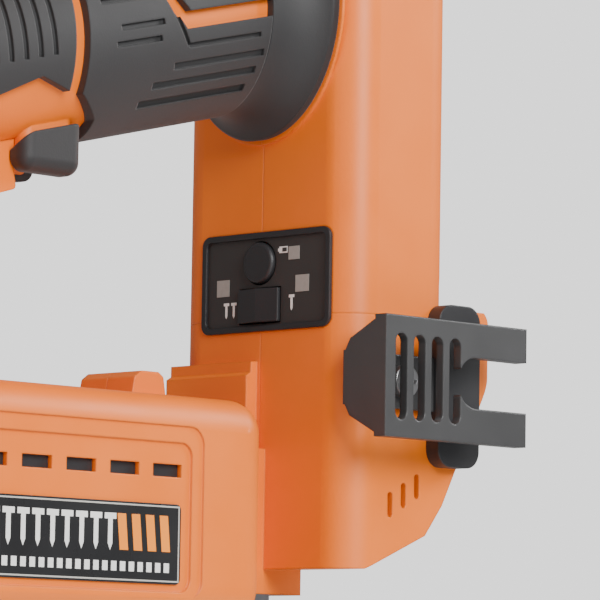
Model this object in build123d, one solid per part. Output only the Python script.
from build123d import *
import os
from math import cos, pi, radians, sin, tan

os.makedirs("parts", exist_ok=True)

# Cordless brad nailer, bare tool.  Millimetres.  +X points to the nose, +Y to the tool's left
# side (belt hook and label side), +Z up.  The drive axis is the Z axis, and z = 0 is the work
# surface under the resting work contact.

# ---------------------------------------------------------------- driving dimensions
nail_length = 50.0        # longest brad
contact_travel = 8.0      # lift of the work contact
nail_margin = 4.0         # brad tip above the nose exit, and brad head below the rail top
over_stroke = 5.0         # driver travel beyond one brad length
wall = 2.4                # moulded shell thickness
clear = 0.3               # gap between parts that move past each other
fit = 0.05                # running fit, radial

column_reach = 142.0      # drive axis to the column's front face
column_depth = 34.0
column_width = 56.0
column_round = 8.5
column_rise = 38.6        # column top above the handle axis
foot_height = 56.5        # foot bottom to the joint with the column
foot_depth = 47.5
foot_back_round = 3.5
foot_drop = 13.0          # foot bottom above the lower housing's bottom
handle_lift = 126.4       # handle axis at the column, above the foot bottom
handle_slope = 13.9       # degrees, the handle falls towards the head
core_half_y = 15.5        # handle shell section, half sizes
core_half_z = 19.5
rubber = 2.0              # overmoulded rubber thickness
collar_half_y = 24.0      # flared collar at the column
collar_half_z = 29.5
collar_rim = 2.7
collar_length = 15.0

lower_height = 48.0       # lower housing
lower_half = 29.0
lower_round = 7.5
lower_back = 24.5         # gap from the column face to the lower housing's rear end
head_length = 62.0        # head, fore and aft
head_width = 66.0
head_round = 22.0
head_rise = 4.0           # head top above the column top

motor_radius = 18.0
motor_length = 45.0
gear_module = 0.6
sun_teeth = 12
planet_teeth = 18
ring_teeth = 48
spur_module = 1.0
pinion_teeth = 10
wheel_teeth = 20
lifter_radius = 12.0      # pitch radius of the lifter pins
lifter_pin = 1.6
lift_steps = 8
bore_radius = 19.0
cylinder_wall = 2.0
blade_thick = 1.3

panel_width = 40.6
panel_height = 22.4
hook_out = 41.0           # outer face of the belt hook from the mid plane
hook_plate = 2.2
hook_lip = 3.4            # depth of the hook's edge flanges

# ---------------------------------------------------------------- levels and stations
nose_z = contact_travel
rail_z0 = nose_z + 2.0
strip_z1 = nose_z + nail_margin + nail_length
rail_z1 = strip_z1 + nail_margin
lower_z0 = rail_z1 + 2.0
lower_z1 = lower_z0 + lower_height
motor_z = (lower_z0 + lower_z1) / 2
foot_z0 = lower_z0 + foot_drop
split_z = foot_z0 + foot_height
handle_z = foot_z0 + handle_lift
column_z1 = handle_z + column_rise
head_z1 = column_z1 + head_rise
stroke = nail_length + over_stroke
driver_tip = strip_z1 + 1.0

column_x = -column_reach
column_x0 = column_x - column_depth
column_half = column_width / 2
lower_x0 = column_x + lower_back
head_half = head_length / 2
slope = radians(handle_slope)

frame_z1 = lower_z1 + 12.0
cylinder_z1 = head_z1 - wall - 12.0
bumper_z1 = frame_z1 + 11.0
piston_height = 12.0
piston_z = bumper_z1 + clear + stroke

planet_radius = gear_module * planet_teeth / 2
carrier_radius = gear_module * (sun_teeth + planet_teeth) / 2
ring_radius = gear_module * ring_teeth / 2
spur_distance = spur_module * (pinion_teeth + wheel_teeth) / 2
lifter_y = -spur_distance
blade_pitch_y = lifter_y + lifter_radius
pin_pitch = stroke / lift_steps

spur_x0 = -22.0
gearbox_x1 = -27.0
gearbox_x0 = -57.0
motor_x0 = gearbox_x0 - motor_length
magazine_x0 = column_x - 9.0
panel_z = split_z + 8.3
panel_y = 1.5
hook_z = split_z - 14.7


# ---------------------------------------------------------------- helpers
def box(x0, x1, y0, y1, z0, z1):
    """Block between pairs of limits."""
    centre = Pos((x0 + x1) / 2, (y0 + y1) / 2, (z0 + z1) / 2)
    return centre * Box(abs(x1 - x0), abs(y1 - y0), abs(z1 - z0))


def rod(axis, centre, radius, a, b):
    """Cylinder along X, Y or Z between a and b; centre holds the other two coordinates."""
    middle = (a + b) / 2
    length = abs(b - a)
    if axis == "X":
        return Pos(middle, centre[0], centre[1]) * Rot(0, 90, 0) * Cylinder(radius, length)
    if axis == "Y":
        return Pos(centre[0], middle, centre[1]) * Rot(90, 0, 0) * Cylinder(radius, length)
    return Pos(centre[0], centre[1], middle) * Cylinder(radius, length)


def tube(axis, centre, outer, inner, a, b):
    """Pipe along X, Y or Z."""
    return rod(axis, centre, outer, a, b) - rod(axis, centre, inner, a - 1, b + 1)


def side_prism(points, y0, y1):
    """Side profile of (x, z) points, extruded across the tool."""
    outline = Polyline(*[(x, y0, z) for x, z in points], close=True)
    return extrude(make_face(outline), amount=y1 - y0, dir=(0, 1, 0))


def front_prism(points, x0, x1):
    """Front profile of (y, z) points, extruded along the tool."""
    outline = Polyline(*[(x0, y, z) for y, z in points], close=True)
    return extrude(make_face(outline), amount=x1 - x0, dir=(1, 0, 0))


def tower(x0, x1, half, radius, z0, z1):
    """Upright block with rounded vertical edges."""
    base = Pos((x0 + x1) / 2, 0, z0) * RectangleRounded(x1 - x0, 2 * half, radius)
    return extrude(base, amount=z1 - z0)


def soft_box(x0, x1, y0, y1, z0, z1, radius):
    """Block with every edge rounded."""
    block = box(x0, x1, y0, y1, z0, z1)
    return fillet(block.edges(), radius)


def side_slot(x0, x1, z0, z1, y0, y1):
    """Slot with round ends, cut across the tool."""
    wide = x1 - x0
    tall = z1 - z0
    radius = min(wide, tall) / 2 - 0.01
    flat = Plane(origin=((x0 + x1) / 2, y0, (z0 + z1) / 2), x_dir=(1, 0, 0), z_dir=(0, 1, 0))
    return extrude(flat * RectangleRounded(wide, tall, radius), amount=y1 - y0)


def handle_plane(along):
    """Plane square to the handle axis, a distance forward of the column face."""
    origin = (column_x + along * cos(slope), 0, handle_z - along * sin(slope))
    return Plane(origin=origin, x_dir=(0, 1, 0), z_dir=(cos(slope), 0, -sin(slope)))


def handle_rod(grow, a, b):
    """Oval handle section, grown or shrunk, between two stations."""
    section = handle_plane(a) * Ellipse(core_half_y + grow, core_half_z + grow)
    return extrude(section, amount=b - a)


def handle_prism(points):
    """Prism across the tool from (along, above) points in the handle's own side view."""
    shown = []
    for along, above in points:
        x = column_x + along * cos(slope) + above * sin(slope)
        z = handle_z - along * sin(slope) + above * cos(slope)
        shown.append((x, z))
    return side_prism(shown, -60, 60)


def gear(teeth, module, width, bore, turn=0.0, inner=False):
    """Spur gear on the Z axis, or a ring with inward teeth."""
    pitch_radius = teeth * module / 2
    tip = pitch_radius + 0.75 * module
    root = pitch_radius - 1.15 * module
    if inner:
        tip = pitch_radius - 0.75 * module
        root = pitch_radius + 1.15 * module
    step = 2 * pi / teeth
    points = []
    for index in range(teeth):
        middle = index * step + radians(turn)
        for radius, share in ((root, -0.29), (tip, -0.11), (tip, 0.11), (root, 0.29)):
            angle = middle + share * step
            points.append((radius * cos(angle), radius * sin(angle)))
    body = extrude(make_face(Polyline(*points, close=True)), amount=width)
    if inner:
        return Cylinder(bore, width, align=(Align.CENTER, Align.CENTER, Align.MIN)) - body
    return body - Pos(0, 0, width / 2) * Cylinder(bore, width + 2)


def along_x(solid, x, y, z):
    """Turns a piece made on the Z axis to run forward along X from a station."""
    return Pos(x, y, z) * Rot(0, 90, 0) * solid


def halves(solid):
    """Left and right halves, parted on the mid plane."""
    left = solid & box(-400, 400, 0, 200, -100, 500)
    right = solid & box(-400, 400, -200, 0, -100, 500)
    return left, right


# ---------------------------------------------------------------- shell outlines
handle_end = (column_reach - head_half + 10) / cos(slope)
neck_z0 = lower_z0 + 7.5
neck_z1 = lower_z1 - 8.0
trigger_x1 = column_x + 91.0
trigger_x0 = trigger_x1 - 21.0
trigger_z0 = handle_z - 49.0
bulge_x0 = column_x + 66.0
bulge_x1 = column_x + 80.0
bulge_z0 = trigger_z0 + 5.0


def column_outline(inset):
    """Column body, tapered at the back under the battery dock."""
    body = tower(column_x0 + inset, column_x - inset, column_half - inset,
                 column_round - inset, split_z, column_z1 - inset)
    body = fillet(body.edges().group_by(Axis.Z)[-1], column_round - inset - 1.5)
    taper = [(column_x0 + inset - 1, split_z - 1), (column_x0 + 3.6 + inset, split_z - 1),
             (column_x0 + 3.6 + inset, split_z + 8.5), (column_x0 + inset, split_z + 15.5),
             (column_x0 + inset - 1, split_z + 15.5)]
    return body - side_prism(taper, -60, 60)


def head_outline(inset, z0, z1):
    """Head barrel around the drive cylinder."""
    return tower(-head_half + inset, head_half - inset, head_width / 2 - inset,
                 head_round - inset, z0, z1)


def foot_profile(inset):
    """Side outline of the foot."""
    back = column_x - foot_depth + inset
    top = split_z + 3.1 - inset
    return [(column_x - inset, split_z), (column_x0 + 3.0 + inset * 0, split_z),
            (column_x0 + 3.0 + inset * 0, top), (back + 3.5, top), (back, top - 3.5),
            (back, foot_z0 + 47), (back + 17, foot_z0 + 15), (back + 22.5, foot_z0 + 8 + inset * 0.5),
            (column_x - 6, foot_z0 + inset), (column_x - inset, foot_z0 + inset)]


def foot_outline(inset):
    """Foot under the column, rounded like the column in plan."""
    front = tower(column_x - foot_depth - 30, column_x - inset, column_half - inset,
                  column_round - inset, foot_z0 - 5, split_z + 10)
    back = tower(column_x - foot_depth + inset, column_x + 30, column_half - inset,
                 foot_back_round - inset / 2, foot_z0 - 5, split_z + 10)
    plan = front & back
    return side_prism(foot_profile(inset), -60, 60) & plan


def lower_outline(inset):
    """Lower housing around the motor, with its neck to the foot."""
    body = soft_box(lower_x0 + inset, -8, -lower_half + inset, lower_half - inset,
                    lower_z0 + inset, lower_z1 - inset, lower_round - inset)
    neck = box(column_x - 12, lower_x0 + 12, -26 + inset, 2 - inset, neck_z0 + inset, neck_z1 - inset)
    return body + neck


def screw_places():
    """Housing screws as (x, z) pairs."""
    handle_mid = column_x + 30
    return [(column_x - 9, column_z1 - 14), (column_x0 + 13, split_z + 24),
            (handle_mid, handle_z - 30 * tan(slope) + 9), (-26, head_z1 - 13), (25.5, head_z1 - 30),
            (25.5, lower_z1 + 4.4), (-25.5, lower_z1 + 4.4),
            (column_x - 37, split_z - 6), (column_x - 14, foot_z0 + 10),
            (lower_x0 - 6, motor_z), (24.5, lower_z0 + 12), (-20, lower_z0 + 6.5)]


def bosses(solid, hollow, places):
    """Screw pillars that tie the two halves through the hollow of a shell."""
    for x, z in places:
        pillar = rod("Y", (x, z), 3.4, -45, 45) & hollow
        solid = solid + pillar
    for x, z in places:
        solid = solid - rod("Y", (x, z), 1.6, -60, 12)
    return solid


def counterbores(solid, places, reach):
    """Seats for the screw heads on the right side."""
    for (x, z), half in zip(places, reach):
        solid = solid - rod("Y", (x, z), 3.1, -60, -half + 2.6)
    return solid


upper_screws = screw_places()[:7]
lower_screws = screw_places()[7:]
upper_reach = [column_half, column_half, core_half_y - 2.5, 17.5, 19.5, 19.5, 19.5]
lower_reach = [column_half - 1, column_half, 26.0, 20.0, lower_half - 1.0]


def panel_pocket():
    """Opening for the control panel in the column's front face."""
    half = panel_width / 2
    flat = Plane(origin=(column_x - 8, panel_y, panel_z), x_dir=(0, 1, 0), z_dir=(1, 0, 0))
    return extrude(flat * RectangleRounded(panel_width, panel_height, 2.2), amount=12)


dock_half = 21.0
dock_z0 = split_z + 22.0
dock_floor = column_x0 + 8.0


def upper_shells():
    """Head, handle and column in one pair of shells."""
    head = head_outline(0, lower_z1, head_z1)
    head = fillet(head.edges().group_by(Axis.Z)[-1], 10)
    lip = Pos(column_x, 0, handle_z) * Rot(0, 90, 0) * Ellipse(collar_half_z + 1.0, collar_half_y + 1.0)
    bulge = soft_box(bulge_x0, bulge_x1, -9, 9, bulge_z0, handle_z - 12, 2.5)
    outer = head + handle_rod(0, -6, handle_end) + column_outline(0) + bulge
    outer = outer + extrude(lip, amount=0.8)
    hollow_head = head_outline(wall, lower_z1 - 1, head_z1 - wall)
    hollow_head = fillet(hollow_head.edges().group_by(Axis.Z)[-1], 10 - wall)
    hollow_column = column_outline(wall) + box(column_x0 + 7, column_x - wall, -column_half + wall + 6,
                                               column_half - wall - 6, split_z - 1, split_z + 1)
    dock_wall = box(column_x0, dock_floor + wall, -dock_half - wall, dock_half + wall,
                    dock_z0 - wall, column_z1 + 5)
    hollow_column = hollow_column - dock_wall
    hollow = hollow_head + hollow_column + handle_rod(-wall, -8, handle_end + 2)
    shell = outer - hollow
    shell = bosses(shell, hollow, upper_screws)
    shell = counterbores(shell, upper_screws, upper_reach)
    shell = shell - box(column_x0 - 5, dock_floor, -dock_half, dock_half, dock_z0, column_z1 + 5)
    shell = shell - box(column_x0 - 5, dock_floor + wall + 1, -10, 10, dock_z0 + 14, dock_z0 + 40)
    shell = shell - panel_pocket()
    trigger_slot = box(trigger_x0 - 6, trigger_x1 + 1, -5.5 - clear, 5.5 + clear,
                       trigger_z0 - 6, plunger_z + 5)
    shell = shell - trigger_slot
    return halves(shell)


vent_pitch = 12.2
vent_x = column_x + 54.7
vent_z = lower_z0 + 31.5
tab_x = column_x + 36.5   # rear of the raised tab on the lower housing
label_x0 = column_x + 51.0
label_x1 = label_x0 + 56.0
label_z0 = lower_z0 + 7.6
label_z1 = label_z0 + 16.8


def foot_vents():
    """Row of short upright slots low on the foot's sides, stepping up towards the back."""
    cuts = Part()
    for index in range(3):
        x = column_x - 13.5 - 4.3 * index
        z = foot_z0 + 14.5 + 2.2 * index
        cuts = cuts + side_slot(x - 0.8, x + 0.8, z - 2.8, z + 2.8, -40, 40)
    return cuts


def lower_shells():
    """Lower housing, neck, foot and lower part of the head in one pair of shells."""
    head = head_outline(0, lower_z0, lower_z1)
    head = fillet(head.edges().group_by(Axis.Z)[0], 4)
    ledge = side_prism([(column_x - 9, foot_z0 + 0.5), (column_x + 3.4, foot_z0 + 3),
                        (column_x + 3.4, split_z - 13.0), (column_x + 2.0, split_z - 12.2),
                        (column_x + 2.0, split_z - 9.8), (column_x - 9, split_z - 8.8)], -column_half + 1, -1)
    tab = side_prism([(tab_x, lower_z1 - 3), (tab_x + 1.5, lower_z1 + 5.2),
                      (tab_x + 3, lower_z1 + 6.2), (tab_x + 8, lower_z1 + 6.2),
                      (tab_x + 10, lower_z1 + 4.8), (tab_x + 11.5, lower_z1 - 3)], -8.5, 8.5)
    tab = fillet(tab.edges().filter_by(Axis.Y), 0.9)
    outer = head + lower_outline(0) + foot_outline(0) + ledge + tab
    hollow_head = head_outline(wall, lower_z0 + wall, lower_z1 + 1)
    hollow_foot = foot_outline(wall)
    hollow = hollow_head + lower_outline(wall) + hollow_foot
    shell = outer - hollow
    shell = bosses(shell, hollow, lower_screws)
    shell = counterbores(shell, lower_screws, lower_reach)
    for side in (-1, 1):
        face = side * lower_half
        shallow = box(column_x + 45, -25, face - 0.5, face + 0.5, lower_z0 + 4.5, lower_z1 - 7)
        deep = box(column_x + 48, -26, face - 1.1, face + 1.1, lower_z0 + 6.0, lower_z1 - 10.5)
        shell = shell - fillet(shallow.edges().filter_by(Axis.Y), 4) - fillet(deep.edges().filter_by(Axis.Y), 3)
        for index in range(5):
            x = vent_x + vent_pitch * index
            shell = shell - box(x - 4.1, x + 4.1, face - 6, face + 6, vent_z - 1.35, vent_z + 1.35)
    shell = shell - foot_vents() - panel_pocket()
    shell = shell - rod("Y", (column_x - 14, hook_z), 2.0, column_half - wall - 1, column_half + 1)
    shell = shell - box(-13, 12, -14, 14, lower_z0 - 1, lower_z0 + wall + 5)
    shell = shell - rod("Z", (0, 20), 3.2, lower_z0 - 1, lower_z0 + wall + 5)
    return halves(shell)


# ---------------------------------------------------------------- rubber
def flare(grow):
    """Flared collar outline between the handle and the column."""
    stations = ((0.0, 1.0), (collar_rim, 1.0), (5.0, 0.62), (9.0, 0.24), (collar_length, 0.0))
    faces = []
    for reach, share in stations:
        half_y = core_half_y + rubber + (collar_half_y - core_half_y - rubber) * share
        half_z = core_half_z + rubber + (collar_half_z - core_half_z - rubber) * share
        centre = (column_x + reach, 0, handle_z - reach * tan(slope) * (1 - share * 0.5))
        plane = Plane(origin=centre, x_dir=(0, 1, 0), z_dir=(1, 0, 0))
        faces.append(plane * Ellipse(half_y, half_z))
    rim = extrude(faces[0], amount=collar_rim)
    return rim + loft(faces[1:])


def collar():
    """Black flared collar."""
    body = flare(0) - handle_rod(0, -20, 60)
    return body & box(column_x + 0.8, column_x + 60, -60, 60, 0, 400)


grip_start = collar_length + 0.2
stripe = 1.9              # half width of the bare lines between rubber pads


def grip_sleeve():
    """Full rubber sleeve before it is parted into pads."""
    sleeve = handle_rod(rubber, 0, handle_end) - handle_rod(0, -5, handle_end + 5)
    return sleeve & box(column_x + grip_start, 50, -60, 60, 0, 400)


def groove(points):
    """Shallow groove cutter on the sleeve's skin."""
    skin = handle_rod(rubber + 1, grip_start, handle_end) - handle_rod(rubber - 0.8, 0, handle_end + 5)
    return skin & handle_prism(points)


def bar(a0, b0, a1, b1, half):
    """Points of a straight bar between two places in the handle's side view."""
    length = ((a1 - a0) ** 2 + (b1 - b0) ** 2) ** 0.5
    da = -(b1 - b0) / length * half
    db = (a1 - a0) / length * half
    return [(a0 + da, b0 + db), (a1 + da, b1 + db), (a1 - da, b1 - db), (a0 - da, b0 - db)]


def grip_saddle():
    """Rubber pad over the back of the handle."""
    zone = [(0, 1 + stripe), (40.6, 1 + stripe), (55, 26), (0, 26)]
    return grip_sleeve() & handle_prism(zone)


def grip_main():
    """Ribbed rubber pad under the palm and fingers."""
    zone = [(0, 1 - stripe), (42.6, 1 - stripe), (59.5, 26), (68, 26), (69.5, 10), (74, -11),
            (68, -17), (67, -26), (0, -26)]
    pad = grip_sleeve() & handle_prism(zone)
    for above, start, stop in ((-8.5, 19, 47), (-12.0, 21, 53), (-15.5, 23, 56)):
        pad = pad - groove(bar(start, above, stop, above, 0.7))
    for above, start, stop in ((1.5, 49, 62), (-2.0, 50.5, 64)):
        pad = pad - groove(bar(start, above, stop, above, 0.6))
    pad = pad - groove(bar(47, 7.5, 66, 7.5, 0.5)) - groove(bar(47, 7.5, 42.5, -4.5, 0.5))
    return pad - groove(bar(42.5, -4.5, 20, -4.5, 0.5))


def grip_front():
    """Rubber pad beside the head, with upright grooves."""
    zone = [(72, 26), (73.4, 10), (78, -10), (86, -6), (101, -9), (104, 26)]
    pad = grip_sleeve() & handle_prism(zone)
    for index in range(5):
        along = 80 + 4.2 * index
        pad = pad - groove(bar(along, 14, along + 2, -2, 0.7))
    return pad


def grip_neck():
    """Rubber boot on the trigger neck under the handle."""
    skin = soft_box(bulge_x0 - 1.6, bulge_x1 + 1.2, -10.6, 10.6, bulge_z0 - 1.4, handle_z - 12, 3)
    skin = skin - soft_box(bulge_x0, bulge_x1, -9, 9, bulge_z0, handle_z - 12, 2.5)
    skin = skin - handle_rod(rubber, 0, handle_end) - box(-400, 0, -60, 60, handle_z - 30, 400)
    slot = box(trigger_x0 - 6, trigger_x1 + 1, -5.5 - clear, 5.5 + clear, trigger_z0 - 6, handle_z)
    return skin - slot


# ---------------------------------------------------------------- trigger and switch
def trigger():
    """Sliding trigger with a hollowed finger face."""
    profile = [(trigger_x0, plunger_z + 3.5), (trigger_x0, handle_z - 40), (trigger_x0 + 10, handle_z - 44),
               (trigger_x0 + 9, trigger_z0), (trigger_x1 - 7, trigger_z0 - 1.5), (trigger_x1 - 3, trigger_z0 + 1),
               (trigger_x1 - 5, trigger_z0 + 9), (trigger_x1 - 2, trigger_z0 + 18), (trigger_x1 - 1, handle_z - 27),
               (trigger_x0 + 12, handle_z - 27), (trigger_x0 + 8, plunger_z + 3.5)]
    body = side_prism(profile, -5.5, 5.5)
    return fillet(body.edges().filter_by(Axis.Y), 1.0)


trigger_travel = 5.0
switch_x1 = trigger_x0 - trigger_travel - 3.0
plunger_z = handle_z - 18.5


def trigger_switch():
    """Snap switch inside the handle."""
    body = box(switch_x1 - 20, switch_x1, -6, 6, plunger_z - 3.5, plunger_z + 9)
    bush = box(switch_x1, switch_x1 + 1, -3, 3, plunger_z - 3, plunger_z + 3)
    hole = box(switch_x1 - 8, switch_x1 + 2, -2 - fit, 2 + fit, plunger_z - 2 - fit, plunger_z + 2 + fit)
    return body + bush - hole


def switch_plunger():
    """Plunger between switch and trigger."""
    return box(switch_x1 - 1.5, trigger_x0, -2, 2, plunger_z - 2, plunger_z + 2)


# ---------------------------------------------------------------- control panel
def panel_bezel():
    """Black frame set in the column's face."""
    flat = Plane(origin=(column_x - wall, panel_y, panel_z), x_dir=(0, 1, 0), z_dir=(1, 0, 0))
    outer = extrude(flat * RectangleRounded(panel_width, panel_height, 2.2), amount=wall + 0.5)
    inner = extrude(flat * RectangleRounded(panel_width - 2.6, panel_height - 2.6, 1.4), amount=wall + 2)
    return outer - inner


button_y = -0.7
button_z = panel_z + 4.3
rocker_y = -0.6
rocker_z = panel_z - 5.4
light_places = ((10.0, 6.0, 3.4, 3.0), (12.7, -1.0, 4.2, 3.8), (-12.5, -0.8, 4.0, 3.8))


def panel_face():
    """Charcoal face plate with openings for the controls."""
    flat = Plane(origin=(column_x - wall, panel_y, panel_z), x_dir=(0, 1, 0), z_dir=(1, 0, 0))
    plate = extrude(flat * RectangleRounded(panel_width - 2.6, panel_height - 2.6, 1.4), amount=wall - 0.2)
    plate = plate - rod("X", (button_y, button_z), 4.7 + clear, column_x - 9, column_x + 3)
    plate = plate - box(column_x - 9, column_x + 3, rocker_y - 6.3 - clear, rocker_y + 6.3 + clear,
                        rocker_z - 3.8 - clear, rocker_z + 3.8 + clear)
    for y, up, wide, tall in light_places:
        plate = plate - box(column_x - 9, column_x + 3, y - wide / 2, y + wide / 2,
                            panel_z + up - tall / 2, panel_z + up + tall / 2)
    return plate


def mode_button():
    """Round power button."""
    cap = rod("X", (button_y, button_z), 4.7, column_x - 3.4, column_x + 1.0)
    return fillet(cap.edges().group_by(Axis.X)[-1], 0.8)


def mode_rocker():
    """Rocker that picks single or sequential firing."""
    half = 6.3
    profile = [(-half, -2.2), (half, -2.2), (half, 0.6), (0, 1.5), (-half, 0.6)]
    outline = Polyline(*[(column_x + reach, rocker_y + y, rocker_z - 3.8) for y, reach in profile], close=True)
    body = extrude(make_face(outline), amount=7.6, dir=(0, 0, 1))
    return body + rod("Z", (column_x - 1.5, rocker_y), 0.6, rocker_z - 4.0, rocker_z + 4.0)


def light_windows():
    """Three clear windows of the panel lights."""
    group = Part()
    for y, up, wide, tall in light_places:
        group = group + box(column_x - wall, column_x - 0.1, y - wide / 2, y + wide / 2,
                            panel_z + up - tall / 2, panel_z + up + tall / 2)
    return group


def panel_board():
    """Circuit board behind the panel with two key switches and three lamps."""
    back = column_x - wall - 5.6
    board = box(back - 1.6, back, -17, 17, panel_z - 9, panel_z + 9)
    key = box(back, back + 3.6, button_y - 2, button_y + 2, button_z - 2, button_z + 2)
    board = board + key
    for side in (-1, 1):
        y = rocker_y + side * 4
        board = board + box(back, back + 2.6, y - 1, y + 1, rocker_z - 2, rocker_z + 2)
    for y, up, wide, tall in light_places:
        board = board + box(back, back + 3.0, y - 1.2, y + 1.2, panel_z + up - 1.2, panel_z + up + 1.2)
    return board


# ---------------------------------------------------------------- motor and gears
def motor_can():
    """Motor can with end bells."""
    centre = (0, motor_z)
    can = tube("X", centre, motor_radius, motor_radius - 1.6, motor_x0, gearbox_x0)
    back = tube("X", centre, motor_radius, 4 + fit, motor_x0, motor_x0 + 2)
    front = tube("X", centre, motor_radius, 4 + fit, gearbox_x0 - 2, gearbox_x0)
    can = can + back + front
    for index in range(8):
        angle = radians(45 * index)
        y = 12 * cos(angle)
        z = motor_z + 12 * sin(angle)
        can = can - rod("X", (y, z), 2.2, motor_x0 - 1, motor_x0 + 3)
    return can


def motor_bearings():
    """Two ball bearings of the rotor shaft."""
    rear = tube("X", (0, motor_z), 4.0, 2.5 + fit / 2, motor_x0, motor_x0 + 2.5)
    front = tube("X", (0, motor_z), 4.0, 2.5 + fit / 2, gearbox_x0 - 2.5, gearbox_x0)
    return rear + front


def stator():
    """Stator ring with copper windings."""
    return tube("X", (0, motor_z), motor_radius - 1.65, 11.6, motor_x0 + 6, gearbox_x0 - 6)


def rotor():
    """Rotor core, shaft and sun gear."""
    shaft = rod("X", (0, motor_z), 2.5, motor_x0 - 7, gearbox_x0 + 4)
    core = rod("X", (0, motor_z), 11.0, motor_x0 + 7, gearbox_x0 - 7)
    sun = along_x(gear(sun_teeth, gear_module, 12, 0.5), gearbox_x0 + 4, 0, motor_z)
    return shaft + core + sun


def cooling_fan():
    """Fan behind the motor."""
    hub = tube("X", (0, motor_z), 5, 2.5, motor_x0 - 6.5, motor_x0 - 1)
    disc = tube("X", (0, motor_z), 14.5, 4.5, motor_x0 - 2.2, motor_x0 - 1.0)
    fan = hub + disc
    for index in range(9):
        blade = box(motor_x0 - 6.0, motor_x0 - 1.6, -0.6, 0.6, 4.2, 14.0)
        fan = fan + Pos(0, 0, motor_z) * Rot(40 * index, 0, 0) * Rot(0, 0, 0) * blade
    return fan


def gearbox_case():
    """Gearbox case with the fixed ring gear."""
    centre = (0, motor_z)
    outer = ring_radius + 2.8
    ring = along_x(gear(ring_teeth, gear_module, 15, outer, 0, True), gearbox_x0, 0, motor_z)
    sleeve = tube("X", centre, outer, ring_radius + 1.2, gearbox_x0 + 15, gearbox_x1 - 3)
    front = tube("X", centre, outer, 6.0, gearbox_x1 - 3, gearbox_x1)
    return ring + sleeve + front


def output_carrier():
    """Planet carrier with its pins, output shaft and drive pinion."""
    plate = rod("X", (0, motor_z), 13.0, gearbox_x0 + 16.4, gearbox_x0 + 19.5)
    shaft = rod("X", (0, motor_z), 3.0, gearbox_x0 + 19, spur_x0 + 7.5)
    body = plate + shaft
    for index in range(3):
        angle = radians(120 * index)
        y = carrier_radius * sin(angle)
        z = motor_z + carrier_radius * cos(angle)
        body = body + rod("X", (y, z), 1.8, gearbox_x0 + 4, gearbox_x0 + 16.5)
    pinion = along_x(gear(pinion_teeth, spur_module, 7, 2.9, 0), spur_x0, 0, motor_z)
    return body + pinion


def output_bearing():
    """Bearing of the output shaft in the gearbox nose."""
    return tube("X", (0, motor_z), 6.0, 3.0 + fit, gearbox_x1 - 4, gearbox_x1)


def planet(index):
    """Planet gear; index 0 is at the top."""
    angle = radians(120 * index)
    y = carrier_radius * sin(angle)
    z = motor_z + carrier_radius * cos(angle)
    turn = 180.0 / planet_teeth
    if index:
        turn = 180.0 / planet_teeth - 120.0 * index
    return along_x(gear(planet_teeth, gear_module, 11.5, 1.8 + fit, turn), gearbox_x0 + 4.4, y, z)


def lifter_gear():
    """Driven spur gear of the lifter shaft."""
    return along_x(gear(wheel_teeth, spur_module, 7, 2.9), spur_x0, lifter_y, motor_z)


def lifter_shaft():
    """Shaft with its driven gear; the lifter sits on its front end."""
    return lifter_gear() + rod("X", (lifter_y, motor_z), 3.0, spur_x0 - 1.5, 11.0)


def lifter_pins_place():
    """Angles of the lifter pins; the last one holds the driver up at rest."""
    step = pin_pitch / lifter_radius
    return [index * step for index in range(lift_steps + 1)]


def lifter():
    """Lifter: two discs joined by the pins that pick up the driver's teeth."""
    centre = (lifter_y, motor_z)
    discs = rod("X", centre, 14.0, 1.5, 4.2) + rod("X", centre, 14.0, -4.2, -1.5)
    hub = rod("X", centre, 6.0, -5.2, 5.2)
    body = discs + hub
    for angle in lifter_pins_place():
        y = lifter_y + lifter_radius * cos(angle)
        z = motor_z + lifter_radius * sin(angle)
        body = body + rod("X", (y, z), lifter_pin, -1.6, 1.6)
    return body - rod("X", centre, 3.0, -6, 6)


def shaft_bearings():
    """Two bearings of the lifter shaft in the frame plates."""
    rear = tube("X", (lifter_y, motor_z), 5.5, 3.0 + fit, -9.0, -6.0)
    front = tube("X", (lifter_y, motor_z), 5.5, 3.0 + fit, 6.0, 9.0)
    return rear + front


def drive_frame():
    """Cast frame that ties cylinder, lifter bearings and nose together."""
    frame = rod("Z", (0, 0), 24, frame_z1 - 4, frame_z1)
    frame = frame - box(-3, 3, -8, 8, frame_z1 - 6, frame_z1 + 1)
    for x0, x1 in ((-9, -6), (6, 9)):
        plate = box(x0, x1, -24.5, 22, lower_z0 + wall, frame_z1 - 3)
        plate = plate + box(x0, x1, -12, 12, rail_z1, lower_z0 + wall + 1)
        plate = plate - rod("X", (lifter_y, motor_z), 5.5, x0 - 1, x1 + 1)
        frame = frame + plate
    frame = frame & tower(-head_half, head_half, 26, 20, 0, 400)
    lug = box(-6, 9, 12, 23, lower_z0 + 5, lower_z0 + 9)
    frame = frame + lug
    return frame - rod("Z", (0, 20), 2.5, lower_z0, lower_z0 + 20)


# ---------------------------------------------------------------- cylinder and driver
def cylinder():
    """Air spring cylinder."""
    body = tube("Z", (0, 0), bore_radius + cylinder_wall, bore_radius, frame_z1, cylinder_z1)
    flange = tube("Z", (0, 0), bore_radius + 4.5, bore_radius, frame_z1, frame_z1 + 3)
    return body + flange


def cylinder_cap():
    """Pressed cap that closes the cylinder."""
    cap = rod("Z", (0, 0), bore_radius + 3.6, cylinder_z1, cylinder_z1 + 4)
    plug = rod("Z", (0, 0), bore_radius - fit, cylinder_z1 - 5, cylinder_z1)
    valve = rod("Z", (0, 0), 3.5, cylinder_z1 + 4, cylinder_z1 + 8)
    return cap + plug + valve


def bumper():
    """Rubber stop under the piston."""
    ring = tube("Z", (0, 0), bore_radius - fit, 8.5, frame_z1, bumper_z1)
    return chamfer(ring.edges().group_by(Axis.Z)[-1], 1.2)


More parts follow.
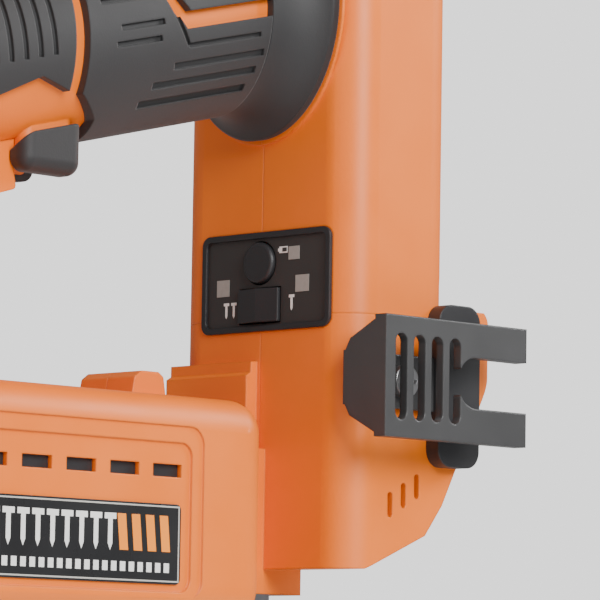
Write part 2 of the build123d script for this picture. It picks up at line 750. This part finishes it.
def piston():
    """Piston with a groove for its seal."""
    body = rod("Z", (0, 0), bore_radius - fit, piston_z, piston_z + piston_height)
    return body - tube("Z", (0, 0), bore_radius + 1, bore_radius - 2.4, piston_z + 4, piston_z + 8)


def piston_seal():
    """Seal ring of the piston."""
    return tube("Z", (0, 0), bore_radius - fit / 2, bore_radius - 2.4, piston_z + 4, piston_z + 8)


def driver_blade():
    """Driver blade with the lifter's teeth on its right edge."""
    root = blade_pitch_y + lifter_pin + 0.35
    body = box(-blade_thick / 2, blade_thick / 2, root, 3.2, motor_z - 6, piston_z)
    tip = box(-blade_thick / 2, blade_thick / 2, -1.4, 1.4, driver_tip, motor_z - 5)
    blade = body + tip
    half = (pin_pitch - 2 * lifter_pin - 1.3) / 2
    for index in range(lift_steps + 1):
        middle = motor_z + (index - 0.5) * pin_pitch
        tooth = [(root + 0.1, middle - half), (blade_pitch_y - 1.6, middle - half + 0.4),
                 (blade_pitch_y - 1.6, middle + half - 0.4), (root + 0.1, middle + half)]
        blade = blade + front_prism(tooth, -blade_thick / 2, blade_thick / 2)
    socket = rod("Z", (0, 0), 4.0, piston_z - 9, piston_z)
    return blade + (socket & box(-4, 4, -4, 4, 0, 400))


# ---------------------------------------------------------------- nose
latch_x = 8.2             # pivot of the door latch


def nose_body():
    """Nose with the drive channel and the brad slot."""
    body = box(-9, 3, -9, 9, nose_z + 6, rail_z1)
    tip = box(-3.5, 3, -4.5, 4.5, nose_z, nose_z + 7)
    flange = box(-9, 3, -12, 12, rail_z1 - 4, rail_z1)
    ears = box(-2, 8.5, -12, -8.9, nose_z + 26, nose_z + 46)
    ears = ears - rod("Z", (7, -10.2), 1.2, nose_z + 20, nose_z + 50)
    body = body + tip + flange + ears
    body = body - box(-blade_thick / 2 - 0.15, 5, blade_pitch_y - 2.0, 3.2 + 0.4, nose_z - 1, rail_z1 + 1)
    return body - box(-20, -0.5, -1.35, 1.35, rail_z0, strip_z1 + 1)


def nose_door():
    """Jam door over the drive channel."""
    door = box(3 + 0.1, 6.2, -8.2, 9, nose_z + 8, rail_z1 - 5)
    knuckles = box(5, 9, -11.5, -8.6, nose_z + 16, nose_z + 26 - clear)
    knuckles = knuckles + box(5, 9, -11.5, -8.6, nose_z + 46 + clear, rail_z1 - 5)
    neck = box(5, 6.2, -9.2, -8, nose_z + 16, nose_z + 26 - clear) + box(5, 6.2, -9.2, -8, nose_z + 46 + clear,
                                                                     rail_z1 - 5)
    for y0, y1 in ((-7.2, -5.3), (7.3, 9)):
        door = door + box(6, 9.6, y0, y1, rail_z1 - 12.5, rail_z1 - 8)
    door = door + knuckles + neck - rod("Y", (latch_x, rail_z1 - 10), 0.8 + fit, -9, 9.5)
    return door - rod("Z", (7, -10.2), 1.2 + fit, nose_z, rail_z1 + 1)


def door_pin():
    """Hinge pin of the jam door."""
    return rod("Z", (7, -10.2), 1.2, nose_z + 15, rail_z1 - 4)


def door_latch():
    """Over-centre lever that holds the jam door shut."""
    lever = box(7.0, 9.4, -5, 7, rail_z1 - 24, rail_z1 - 8.8)
    lever = lever + box(9.2, 11.8, -5, 7, rail_z1 - 24, rail_z1 - 21)
    return lever + rod("Y", (latch_x, rail_z1 - 10), 0.8, -6.8, 8.8)


def work_contact():
    """Sliding steel contact around the nose, with its arm to the depth stop."""
    plate = box(-6, 6, -11.5, 11.5, 2.0, 4.5) - box(-3.9, 3.4, -4.9, 4.9, 1, 6)
    arms = box(-4, 4, 9.4, 11.5, 2.0, nose_z + 24)
    arms = arms + box(-4, 4, -11.5, -9.4, 2.0, nose_z + 12)
    bracket = box(-4, 4, 9.4, 25, nose_z + 21.5, nose_z + 24)
    return plate + arms + bracket - rod("Z", (0, 20), 2.5 + 0.1, 0, 100)


def contact_tip():
    """Soft pad that keeps the work unmarked."""
    pad = box(-7, 7, -12.5, 12.5, 0, 2.0) - box(-3.9, 3.4, -4.9, 4.9, -1, 6)
    return fillet(pad.edges().filter_by(Axis.Z), 1.0)


def depth_rod():
    """Threaded guide rod of the depth stop."""
    return rod("Z", (0, 20), 2.5, nose_z + 14, lower_z0 + 9)


def depth_wheel():
    """Knurled depth wheel with its stop sleeve."""
    wheel = rod("Z", (0, 20), 7.6, rail_z1 - 11, rail_z1 - 2)
    for index in range(16):
        angle = radians(22.5 * index)
        wheel = wheel - rod("Z", (8.1 * cos(angle), 20 + 8.1 * sin(angle)), 1.1, rail_z1 - 12, rail_z1)
    sleeve = rod("Z", (0, 20), 3.8, nose_z + 24 + contact_travel + clear, rail_z1 - 10)
    return wheel + sleeve - rod("Z", (0, 20), 2.5 + fit, 0, 120)


def contact_spring():
    """Return spring of the work contact."""
    bottom = nose_z + 24
    top = rail_z1 - 11
    turns = 5
    path = Pos(0, 20, bottom + 0.5) * Helix(pitch=(top - bottom - 1.0) / turns, height=top - bottom - 1.0,
                                            radius=5.2)
    start = path @ 0
    wire = Plane(origin=start, z_dir=path % 0) * Circle(0.45)
    return sweep(wire, path=path)


# ---------------------------------------------------------------- magazine
rail_x1 = -9.0


def magazine_rail():
    """Fixed left side of the magazine with its top guide."""
    side = box(magazine_x0 + 6, rail_x1, 1.6, 4.0, rail_z0 + 1, rail_z1 - 4)
    top = box(magazine_x0 + 6, rail_x1, -7, 7, rail_z1 - 4, rail_z1)
    web = box(magazine_x0 + 6, rail_x1, 3.9, 5.6, rail_z0 + 10, rail_z0 + 14)
    tie = box(column_x - 2, column_x + 20, -6, 2, rail_z1, neck_z0)
    return side + top + web + tie


def magazine_cover():
    """Sliding right side of the magazine with its bottom channel."""
    side = box(magazine_x0 + 6, rail_x1 - clear, -4.0, -1.6, rail_z0, rail_z1 - 4 - clear)
    bottom = box(magazine_x0 + 6, rail_x1 - clear, -4.0, 6.6, rail_z0 - 2, rail_z0 + 1 - clear)
    hook = box(magazine_x0 + 6, rail_x1 - clear, 4.0 + clear, 6.6, rail_z0 - 2, rail_z0 + 9)
    return side + bottom + hook


def magazine_end_cap():
    """Rounded rear cap of the sliding half."""
    cap = box(magazine_x0 - 6, magazine_x0 + 6 - clear, -8.5, 8.5, rail_z0 - 2, rail_z1 + 6)
    cap = fillet(cap.edges().filter_by(Axis.Z), 4.0)
    cap = fillet(cap.edges().group_by(Axis.Z)[-1], 3.0)
    cap = cap + box(magazine_x0 + 5, magazine_x0 + 6, -4.0, -1.6, rail_z0, rail_z1 - 8)
    cap = cap - box(magazine_x0 - 7, magazine_x0 - 1, -4.5, 4.5, rail_z1 - 22, rail_z1 - 2)
    return cap - rod("Y", (magazine_x0 - 4.0, rail_z1 - 6), 1.2 + fit, -5.6, 5.6)


def magazine_latch():
    """Spring latch on the end cap."""
    lever = box(magazine_x0 - 5.5, magazine_x0 - 2.5, -4.2, 4.2, rail_z1 - 21, rail_z1 - 3)
    return lever + rod("Y", (magazine_x0 - 4.0, rail_z1 - 6), 1.2, -5.5, 5.5)


def pusher():
    """Follower that feeds the brads forward."""
    body = box(rail_x1 - 13, rail_x1 - 2, -1.3, 1.3, rail_z0 + 3, strip_z1)
    return body


def pusher_spring():
    """Rolled strip spring that rides behind the follower."""
    return tube("Y", (rail_x1 - 18.2, rail_z0 + 30), 5.2, 2.0, -1.2, 1.2)


# ---------------------------------------------------------------- battery dock and boards
def battery_dock():
    """Channel that the battery pack slides down into."""
    top = column_z1 - 9
    floor = box(dock_floor - 2.4, dock_floor, -dock_half, dock_half, dock_z0, top)
    dock = floor
    for side in (-1, 1):
        outer = side * dock_half
        inner = side * (dock_half - 2)
        lip = side * (dock_half - 5.5)
        dock = dock + box(column_x0 + 0.4, dock_floor, outer, inner, dock_z0, top)
        dock = dock + box(column_x0 + 0.4, column_x0 + 2.6, outer, lip, dock_z0, top)
    dock = dock + box(column_x0 + 0.4, dock_floor, -dock_half, dock_half, dock_z0, dock_z0 + 2.5)
    return dock - box(dock_floor - 4, dock_floor + 2, -9, 9, dock_z0 + 16, dock_z0 + 38)


def terminal_block():
    """Terminal carrier through the dock floor."""
    body = box(dock_floor - 2.4, dock_floor + 6, -9, 9, dock_z0 + 16, dock_z0 + 38)
    return body


def terminals():
    """Five upright contact blades."""
    group = Part()
    for index in range(5):
        y = -7 + 3.5 * index
        group = group + box(dock_floor - 6.5, dock_floor - 2.4, y - 0.4, y + 0.4, dock_z0 + 18, dock_z0 + 34)
    return group


def control_board():
    """Main circuit board in the foot, with its capacitors."""
    x = column_x - 22
    board = box(x - 1.6, x, -21, 21, foot_z0 + 14, split_z - 2)
    board = board + box(x, x + 4, -14, -4, foot_z0 + 24, foot_z0 + 40)
    board = board + rod("X", (12, foot_z0 + 26), 4, x, x + 11)
    return board + rod("X", (12, foot_z0 + 38), 4, x, x + 11)


# ---------------------------------------------------------------- hook, label and screws
def belt_hook():
    """Forked belt hook on the left side of the foot."""
    z0 = hook_z - 13.4
    z1 = hook_z + 13.4
    back = column_x - 44
    front = column_x + 2.2
    inner = hook_out - hook_plate
    leg_y = column_half + 0.1
    plate = box(back, front, inner, hook_out, z0, z1)
    plate = plate + box(back, front, hook_out - hook_lip, hook_out, z1 - 1.8, z1)
    plate = plate + box(back, front, hook_out - hook_lip, hook_out, z0, z0 + 1.8)
    gap = box(back - 1, column_x - 27, 20, 60, hook_z - 5.7, hook_z + 5.7)
    gap = gap + rod("Y", (column_x - 27, hook_z), 5.7, 20, 60)
    plate = plate - gap
    for side in (-1, 1):
        edge = hook_z + side * 5.7
        plate = plate + box(back, column_x - 27, hook_out - hook_lip, hook_out, edge, edge + side * 1.6)
    for index in range(4):
        x = column_x - 2.8 - 5.8 * index
        plate = plate - side_slot(x - 1.9, x + 1.9, hook_z - 9.5, hook_z + 9.5, 30, 60)
    wall_points = [(leg_y, hook_z - 5), (leg_y + 2, hook_z - 8.5), (hook_out - 1.5, z0), (hook_out, z0),
                   (hook_out, z1), (hook_out - 1.5, z1), (leg_y + 2, hook_z + 8.5), (leg_y, hook_z + 5)]
    front_wall = front_prism(wall_points, front - hook_plate, front)
    leg = box(column_x - 38, front, leg_y, leg_y + 2, hook_z - 6, hook_z + 6)
    leg = leg - rod("Y", (column_x - 14, hook_z), 2.2, 20, 45)
    return plate + front_wall + leg


def hook_pad():
    """Raised clip pad on the foot that the hook's leg lies in."""
    slab = box(column_x - 38.5, column_x - 25, column_half, column_half + 3.8, hook_z - 18.3, hook_z + 18.3)
    slab = fillet(slab.edges().filter_by(Axis.Y), 4)
    return slab - box(column_x - 60, column_x, column_half + 0.1, column_half + 2.1, hook_z - 6, hook_z + 6)


def hook_screw():
    """Screw that clamps the hook."""
    head = rod("Y", (column_x - 14, hook_z), 3.6, column_half + 2.1, column_half + 4.4)
    head = head - box(column_x - 17, column_x - 11, column_half + 3.4, column_half + 5, hook_z - 0.5, hook_z + 0.5)
    return head + rod("Y", (column_x - 14, hook_z), 2.0, column_half - wall, column_half + 2.1)


def label_plate():
    """Blank dark label on the left side."""
    face = lower_half - 1.1
    plate = box(label_x0, label_x1, face, face + 0.5, label_z0, label_z1)
    return fillet(plate.edges().filter_by(Axis.Y), 1.2)


def vent_screen():
    """Dark screen behind the side vents, one strip per side."""
    group = Part()
    for side in (-1, 1):
        inner = side * (lower_half - wall)
        group = group + box(vent_x - 7, vent_x + 4 * vent_pitch + 7, inner, inner - side * 0.8,
                            vent_z - 3, vent_z + 3)
    return group


def screws(places, reach):
    """Housing screws of one pair of shells, as separate solids."""
    group = Part()
    for (x, z), half in zip(places, reach):
        seat = -half + 2.6
        head = rod("Y", (x, z), 2.9, seat - 2.0, seat)
        head = head - rod("Y", (x, z), 1.1, seat - 3, seat - 1.0)
        group = group + head + rod("Y", (x, z), 1.6, seat, 8)
    return group


# ---------------------------------------------------------------- export
left_upper, right_upper = upper_shells()
left_lower, right_lower = lower_shells()

nodes = {
    "upper_shell_left": left_upper,
    "upper_shell_right": right_upper,
    "lower_shell_left": left_lower,
    "lower_shell_right": right_lower,
    "handle_collar": collar(),
    "grip_saddle": grip_saddle(),
    "grip_main": grip_main(),
    "grip_front": grip_front(),
    "grip_neck": grip_neck(),
    "trigger": trigger(),
    "trigger_switch": trigger_switch(),
    "switch_plunger": switch_plunger(),
    "panel_bezel": panel_bezel(),
    "panel_face": panel_face(),
    "power_button": mode_button(),
    "mode_rocker": mode_rocker(),
    "light_windows": light_windows(),
    "panel_board": panel_board(),
    "motor_can": motor_can(),
    "bearings": motor_bearings() + output_bearing() + shaft_bearings(),
    "stator": stator(),
    "rotor": rotor(),
    "cooling_fan": cooling_fan(),
    "gearbox_case": gearbox_case(),
    "output_carrier": output_carrier(),
    "planet_gear_1": planet(0),
    "planet_gear_2": planet(1),
    "planet_gear_3": planet(2),
    "lifter_shaft": lifter_shaft(),
    "lifter": lifter(),
    "drive_frame": drive_frame(),
    "drive_cylinder": cylinder(),
    "cylinder_cap": cylinder_cap(),
    "piston_bumper": bumper(),
    "piston": piston(),
    "piston_seal": piston_seal(),
    "driver_blade": driver_blade(),
    "nose_body": nose_body(),
    "nose_door": nose_door(),
    "door_pin": door_pin(),
    "door_latch": door_latch(),
    "work_contact": work_contact(),
    "contact_tip": contact_tip(),
    "contact_spring": contact_spring(),
    "depth_rod": depth_rod(),
    "depth_wheel": depth_wheel(),
    "magazine_rail": magazine_rail(),
    "magazine_cover": magazine_cover(),
    "magazine_end_cap": magazine_end_cap(),
    "magazine_latch": magazine_latch(),
    "pusher": pusher(),
    "pusher_spring": pusher_spring(),
    "battery_dock": battery_dock(),
    "terminal_block": terminal_block() + terminals(),
    "control_board": control_board(),
    "belt_hook": belt_hook(),
    "hook_pad": hook_pad(),
    "label_plate": label_plate(),
    "vent_screen": vent_screen(),
    "housing_screws": screws(upper_screws, upper_reach) + screws(lower_screws, lower_reach) + hook_screw(),
}

for name, solid in nodes.items():
    export_step(solid, f"parts/{name}.step")
